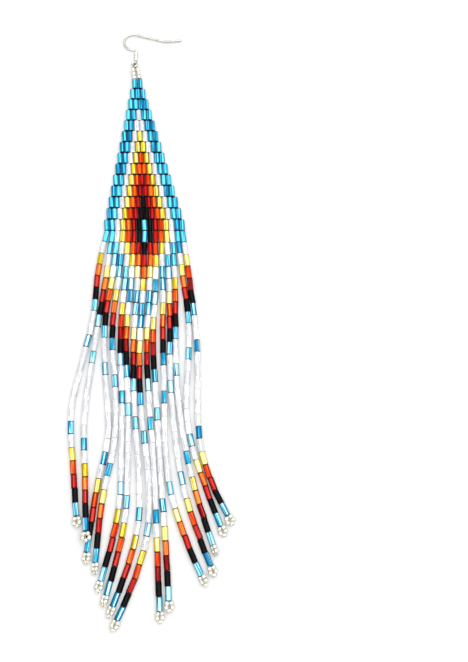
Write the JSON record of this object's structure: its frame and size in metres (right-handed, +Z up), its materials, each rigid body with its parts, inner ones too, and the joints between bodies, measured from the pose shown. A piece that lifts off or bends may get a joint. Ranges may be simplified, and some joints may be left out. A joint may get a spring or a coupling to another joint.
{
  "type": "beaded dangle earring",
  "caption": "Long dangle earring laid flat: ear hook, loop of seed beads, brick-stitched triangle of bugle beads and a fringe of bead strands in a stepped colour pattern.",
  "frame": {"origin": "on the surface that the earring lies on, under the middle of its box", "axes": "+Y from the fringe's tips to the ear hook, +X to the right as seen from above, +Z up"},
  "size_m": [0.0588, 0.2276, 0.0038],
  "materials": {
    "hook_silver": "polished silver-plated wire",
    "seed_crystal": "silver-lined crystal glass",
    "bead_blue": "silver-lined sky blue glass",
    "bead_white": "opaque white glass",
    "bead_yellow": "silver-lined yellow glass",
    "bead_orange": "silver-lined orange glass",
    "bead_red": "silver-lined red glass",
    "bead_black": "opaque black glass",
    "strand_beads": "glass bugle beads in a colour sequence",
    "thread": "waxed nylon beading thread"
  },
  "bodies": {
    "root": {"ear_hook": "hook_silver", "hook_coil": "hook_silver", "seed_loop": "seed_crystal", "panel_blue": "bead_blue", "panel_white": "bead_white", "panel_yellow": "bead_yellow", "panel_orange": "bead_orange", "panel_red": "bead_red", "panel_black": "bead_black", "panel_thread": "thread", "strand_l7": "strand_beads", "strand_l6": "strand_beads", "strand_l5": "strand_beads", "strand_l4": "strand_beads", "strand_l3": "strand_beads", "strand_l2": "strand_beads", "strand_l1": "strand_beads", "strand_c0": "strand_beads", "strand_r1": "strand_beads", "strand_r2": "strand_beads", "strand_r3": "strand_beads", "strand_r4": "strand_beads", "strand_r5": "strand_beads", "strand_r6": "strand_beads", "strand_r7": "strand_beads"}
  },
  "joints": []
}
